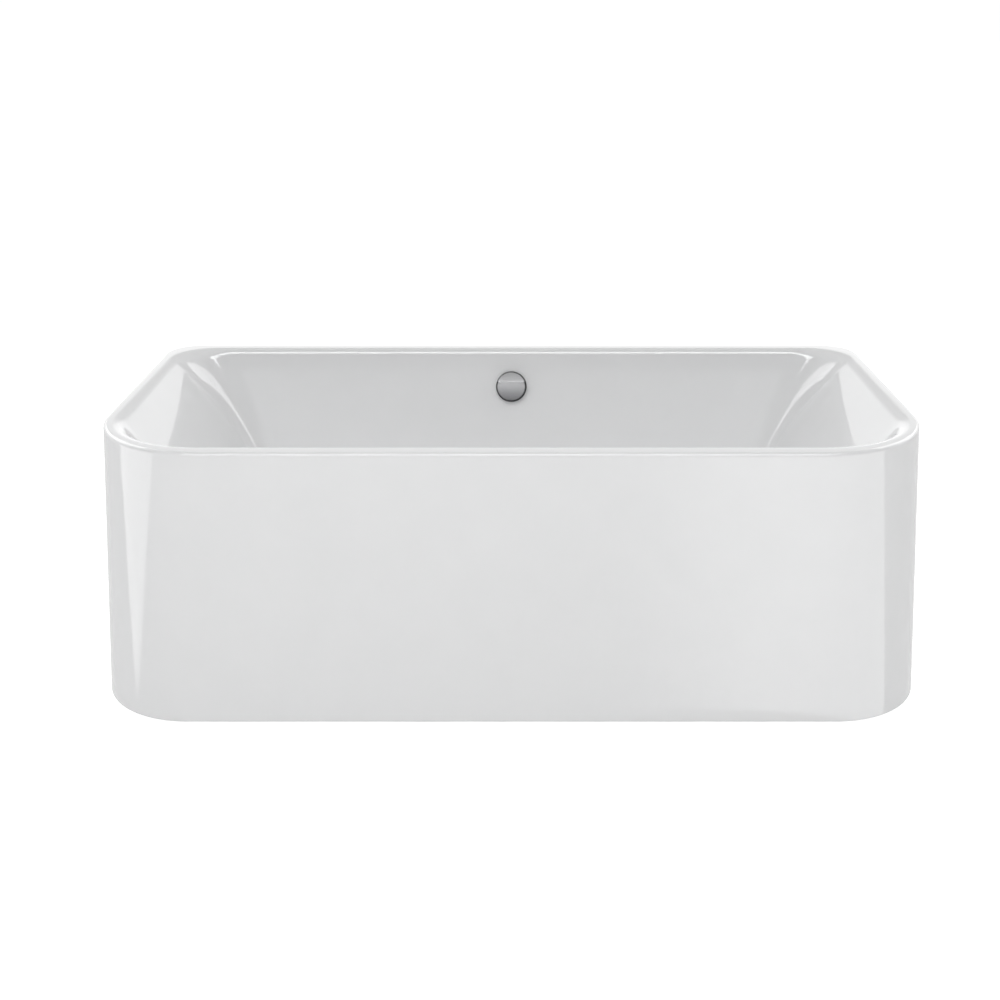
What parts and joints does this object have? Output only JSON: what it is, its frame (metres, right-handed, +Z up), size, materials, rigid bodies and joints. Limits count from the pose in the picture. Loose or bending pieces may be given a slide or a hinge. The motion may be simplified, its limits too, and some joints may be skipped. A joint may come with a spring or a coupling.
{
  "type": "freestanding bathtub",
  "caption": "White rectangular freestanding bathtub with rounded corners, flat rim, sloped basin, smooth skirt, chrome rotary overflow and lifting plug.",
  "frame": {"origin": "on the floor, below the middle of the rim's outline", "axes": "+X along the bath, -Y towards the front face, +Y towards the wall with the overflow, +Z up"},
  "size_m": [1.8, 0.9, 0.6],
  "materials": {
    "acrylic": "high-gloss white sanitary acrylic",
    "board": "raw chipboard",
    "batten": "raw planed softwood",
    "frame_steel": "grey powder coat",
    "zinc_steel": "zinc-plated steel",
    "rubber": "matt black rubber",
    "chrome": "polished chrome",
    "turned_steel": "turned stainless steel",
    "pipe_plastic": "moulded white polypropylene",
    "black_plastic": "moulded black nylon"
  },
  "bodies": {
    "tub": {"tub_shell": "acrylic", "skirt_panel": "acrylic", "base_board": "board", "rim_batten_front": "batten", "rim_batten_back": "batten", "rim_batten_left": "batten", "rim_batten_right": "batten", "long_rail_front": "frame_steel", "long_rail_back": "frame_steel", "cross_rail_left": "frame_steel", "cross_rail_right": "frame_steel", "rail_nut_1": "zinc_steel", "rail_nut_2": "zinc_steel", "rail_nut_3": "zinc_steel", "rail_nut_4": "zinc_steel", "skirt_bracket_1": "zinc_steel", "skirt_bracket_2": "zinc_steel", "skirt_bracket_3": "zinc_steel", "skirt_bracket_4": "zinc_steel", "bracket_screw_1": "zinc_steel", "bracket_screw_2": "zinc_steel", "bracket_screw_3": "zinc_steel", "bracket_screw_4": "zinc_steel", "drain_gasket": "rubber", "overflow_gasket": "rubber", "drain_flange": "chrome", "overflow_ring": "chrome", "drain_body": "pipe_plastic", "overflow_body": "pipe_plastic", "overflow_pipe": "pipe_plastic", "overflow_pipe_nut": "pipe_plastic", "trap_nut": "pipe_plastic", "trap_bend": "pipe_plastic", "outlet_nut": "pipe_plastic", "outlet_bend": "pipe_plastic", "drain_gland": "black_plastic", "overflow_gland": "black_plastic"},
    "control": {"knob": "chrome", "knob_spindle": "turned_steel", "cable_wheel": "pipe_plastic"},
    "plug": {"plug_cap": "chrome", "plug_seal": "rubber", "plug_stem": "turned_steel"},
    "foot_1": {"foot_stud_1": "zinc_steel", "foot_pad_1": "rubber", "lock_nut_1": "zinc_steel"},
    "foot_2": {"foot_stud_2": "zinc_steel", "foot_pad_2": "rubber", "lock_nut_2": "zinc_steel"},
    "foot_3": {"foot_stud_3": "zinc_steel", "foot_pad_3": "rubber", "lock_nut_3": "zinc_steel"},
    "foot_4": {"foot_stud_4": "zinc_steel", "foot_pad_4": "rubber", "lock_nut_4": "zinc_steel"}
  },
  "joints": [
    {"name": "knob_turn", "type": "hinge", "parent": "tub", "child": "control", "pos_m": [0, 0.38308, 0.505], "axis": [0, -0.9859, 0.1676], "range_deg": [0, 90]},
    {"name": "plug_lift", "type": "slide", "parent": "tub", "child": "plug", "axis": [0, 0, 1], "range_m": [0, 0.01]},
    {"name": "foot_screw_1", "type": "slide", "parent": "tub", "child": "foot_1", "axis": [0, 0, -1], "range_m": [-0.003, 0.02]},
    {"name": "foot_screw_2", "type": "slide", "parent": "tub", "child": "foot_2", "axis": [0, 0, -1], "range_m": [-0.003, 0.02]},
    {"name": "foot_screw_3", "type": "slide", "parent": "tub", "child": "foot_3", "axis": [0, 0, -1], "range_m": [-0.003, 0.02]},
    {"name": "foot_screw_4", "type": "slide", "parent": "tub", "child": "foot_4", "axis": [0, 0, -1], "range_m": [-0.003, 0.02]}
  ],
  "couplings": [
    {"joint": "plug_lift", "follows": "knob_turn", "m_per_rad": 0.00636}
  ]
}
